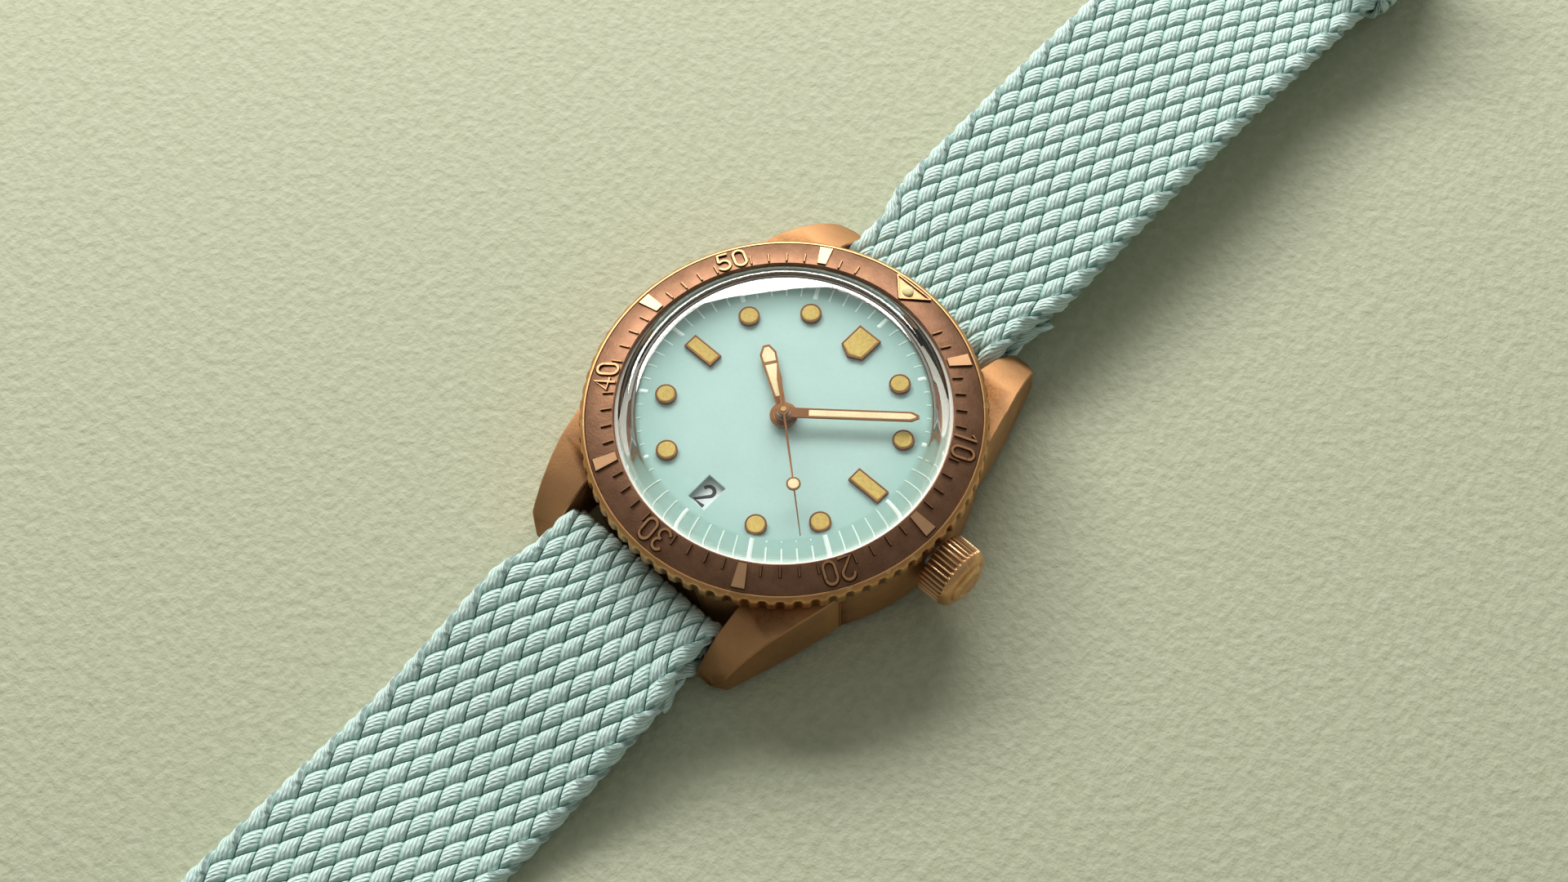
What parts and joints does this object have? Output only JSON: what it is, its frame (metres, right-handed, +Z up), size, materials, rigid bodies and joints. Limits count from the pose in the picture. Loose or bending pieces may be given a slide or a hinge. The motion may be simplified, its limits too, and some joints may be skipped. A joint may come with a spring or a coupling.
{
  "type": "dive watch",
  "caption": "Mechanical dive watch in bronze with a turning bezel, domed crystal, mint dial, screw-in crown and a pale braided strap laid open with its buckle.",
  "frame": {"origin": "centre of the case back's flat resting face", "axes": "+X towards the crown at 3 o'clock, +Y towards 12 o'clock, +Z up out of the dial"},
  "size_m": [0.0421, 0.2421, 0.0126],
  "materials": {
    "bronze_case": "brushed bronze with a light warm patina",
    "bronze_polished": "satin bronze, brighter along edges",
    "bronze_insert": "matte dark patinated bronze",
    "steel": "fine brushed steel",
    "gilt_brass": "gilt matte brass",
    "blued_steel": "heat-blued steel",
    "rubber_seal": "black nitrile rubber",
    "seal_plastic": "white nylon seal",
    "jewel": "polished synthetic ruby",
    "crystal_glass": "polished clear sapphire",
    "dial_paint": "satin mint lacquer",
    "marker_lume": "grainy golden luminous paint",
    "hand_lume": "cream luminous paint",
    "hand_bronze": "brushed dark bronze",
    "date_print": "satin pale grey lacquer",
    "braid": "matte braided textile cord"
  },
  "bodies": {
    "case": {"case_body": "bronze_case", "case_back": "bronze_case", "case_back_gasket": "rubber_seal", "crown_tube": "steel", "crystal": "crystal_glass", "crystal_gasket": "seal_plastic", "bezel_click_spring": "steel", "bezel_retaining_ring": "steel", "dial": "dial_paint", "hour_markers": "bronze_insert", "hour_marker_lume": "marker_lume", "movement_ring": "steel", "main_plate": "gilt_brass", "balance_cock": "steel", "train_bridge": "steel", "barrel_bridge": "steel", "rotor_bearing": "steel", "jewels": "jewel", "movement_screws": "blued_steel", "hairspring": "blued_steel", "spring_bar_12": "steel", "spring_bar_6": "steel"},
    "stem": {"winding_stem": "steel"},
    "crown": {"crown": "bronze_polished", "crown_gasket": "rubber_seal"},
    "bezel": {"bezel": "bronze_polished", "bezel_insert": "bronze_insert", "bezel_pip": "marker_lume"},
    "date_ring": {"date_ring": "date_print"},
    "barrel": {"barrel": "gilt_brass", "mainspring": "steel"},
    "winding_arbor": {"barrel_arbor": "steel", "ratchet_wheel": "gilt_brass"},
    "second_wheel": {"second_wheel": "gilt_brass"},
    "third_wheel": {"third_wheel": "gilt_brass"},
    "seconds": {"seconds_wheel": "gilt_brass", "second_hand": "hand_bronze", "second_hand_lume": "hand_lume"},
    "escape_wheel": {"escape_wheel": "steel"},
    "pallet_fork": {"pallet_fork": "steel"},
    "balance": {"balance_wheel": "gilt_brass"},
    "minutes": {"cannon_pinion": "steel", "minute_hand": "hand_bronze", "minute_hand_lume": "hand_lume"},
    "hours": {"hour_wheel": "gilt_brass", "hour_hand": "hand_bronze", "hour_hand_lume": "hand_lume"},
    "minute_wheel": {"minute_wheel": "gilt_brass"},
    "rotor": {"rotor": "gilt_brass"},
    "strap_12": {"strap_buckle_side": "braid", "fixed_keeper": "braid"},
    "strap_6": {"strap_tail_side": "braid"},
    "buckle": {"buckle_frame": "bronze_case", "buckle_bar": "steel"},
    "tongue": {"buckle_tongue": "bronze_case"},
    "free_keeper": {"free_keeper": "braid"},
    "tip_12_right": {"spring_bar_12_tip_right": "steel"},
    "tip_12_left": {"spring_bar_12_tip_left": "steel"},
    "tip_6_right": {"spring_bar_6_tip_right": "steel"},
    "tip_6_left": {"spring_bar_6_tip_left": "steel"}
  },
  "joints": [
    {"name": "bezel_turn", "type": "hinge", "parent": "case", "child": "bezel", "pos_m": [0, 0, 0.0085], "axis": [0, 0, -1], "continuous": true},
    {"name": "crown_pull", "type": "slide", "parent": "case", "child": "stem", "axis": [1, 0, 0], "range_m": [0, 0.0018]},
    {"name": "crown_turn", "type": "hinge", "parent": "stem", "child": "crown", "pos_m": [0.0209, 0, 0.005], "axis": [1, 0, 0], "continuous": true},
    {"name": "winding_turn", "type": "hinge", "parent": "case", "child": "winding_arbor", "pos_m": [0.00319, 0.006, 0.004], "axis": [0, 0, -1], "continuous": true},
    {"name": "minute_hand_turn", "type": "hinge", "parent": "case", "child": "minutes", "pos_m": [0, 0, 0.008], "axis": [0, 0, -1], "continuous": true},
    {"name": "hour_hand_turn", "type": "hinge", "parent": "case", "child": "hours", "pos_m": [0, 0, 0.008], "axis": [0, 0, -1], "continuous": true},
    {"name": "seconds_hand_turn", "type": "hinge", "parent": "case", "child": "seconds", "pos_m": [0, 0, 0.008], "axis": [0, 0, -1], "continuous": true},
    {"name": "minute_wheel_turn", "type": "hinge", "parent": "case", "child": "minute_wheel", "pos_m": [-0.00044, 0.00285, 0.007], "axis": [0, 0, -1], "continuous": true},
    {"name": "barrel_turn", "type": "hinge", "parent": "case", "child": "barrel", "pos_m": [0.00319, 0.006, 0.004], "axis": [0, 0, -1], "continuous": true},
    {"name": "second_wheel_turn", "type": "hinge", "parent": "case", "child": "second_wheel", "pos_m": [-0.00246, 0.0049, 0.004], "axis": [0, 0, -1], "continuous": true},
    {"name": "third_wheel_turn", "type": "hinge", "parent": "case", "child": "third_wheel", "pos_m": [-0.00299, 0.00065, 0.004], "axis": [0, 0, -1], "continuous": true},
    {"name": "escape_wheel_turn", "type": "hinge", "parent": "case", "child": "escape_wheel", "pos_m": [-0.00167, -0.00239, 0.004], "axis": [0, 0, -1], "continuous": true},
    {"name": "pallet_swing", "type": "hinge", "parent": "case", "child": "pallet_fork", "pos_m": [-0.00302, -0.00431, 0.004], "axis": [0, 0, -1], "range_deg": [-5, 5]},
    {"name": "balance_swing", "type": "hinge", "parent": "case", "child": "balance", "pos_m": [-0.0063, -0.00343, 0.004], "axis": [0, 0, -1], "range_deg": [-270, 270]},
    {"name": "date_change", "type": "hinge", "parent": "case", "child": "date_ring", "pos_m": [0, 0, 0.007], "axis": [0, 0, -1], "continuous": true},
    {"name": "rotor_turn", "type": "hinge", "parent": "case", "child": "rotor", "pos_m": [0, 0, 0.002], "axis": [0, 0, -1], "continuous": true},
    {"name": "strap_12_swing", "type": "hinge", "parent": "case", "child": "strap_12", "pos_m": [0, 0.0204, 0.0033], "axis": [1, 0, 0], "range_deg": [-90, 35]},
    {"name": "strap_6_swing", "type": "hinge", "parent": "case", "child": "strap_6", "pos_m": [0, -0.0204, 0.0033], "axis": [-1, 0, 0], "range_deg": [-85, 35]},
    {"name": "buckle_swing", "type": "hinge", "parent": "strap_12", "child": "buckle", "pos_m": [0, 0.094, 0.00245], "axis": [1, 0, 0], "range_deg": [-60, 120]},
    {"name": "tongue_swing", "type": "hinge", "parent": "buckle", "child": "tongue", "pos_m": [0, 0.094, 0.00245], "axis": [1, 0, 0], "range_deg": [0, 100]},
    {"name": "keeper_slide", "type": "slide", "parent": "strap_12", "child": "free_keeper", "axis": [0, -0.994, 0.1093], "range_m": [0, 0.01]},
    {"name": "spring_bar_12_tip_right_press", "type": "slide", "parent": "case", "child": "tip_12_right", "axis": [-1, 0, 0], "range_m": [0, 0.0014]},
    {"name": "spring_bar_12_tip_left_press", "type": "slide", "parent": "case", "child": "tip_12_left", "axis": [1, 0, 0], "range_m": [0, 0.0014]},
    {"name": "spring_bar_6_tip_right_press", "type": "slide", "parent": "case", "child": "tip_6_right", "axis": [-1, 0, 0], "range_m": [0, 0.0014]},
    {"name": "spring_bar_6_tip_left_press", "type": "slide", "parent": "case", "child": "tip_6_left", "axis": [1, 0, 0], "range_m": [0, 0.0014]}
  ],
  "couplings": [
    {"joint": "hour_hand_turn", "follows": "minute_hand_turn", "ratio": 0.083333},
    {"joint": "minute_wheel_turn", "follows": "minute_hand_turn", "ratio": -0.33333},
    {"joint": "seconds_hand_turn", "follows": "minute_hand_turn", "ratio": 60},
    {"joint": "barrel_turn", "follows": "minute_hand_turn", "ratio": -0.14286},
    {"joint": "second_wheel_turn", "follows": "minute_hand_turn", "ratio": 1},
    {"joint": "third_wheel_turn", "follows": "minute_hand_turn", "ratio": -8},
    {"joint": "escape_wheel_turn", "follows": "minute_hand_turn", "ratio": -720}
  ]
}
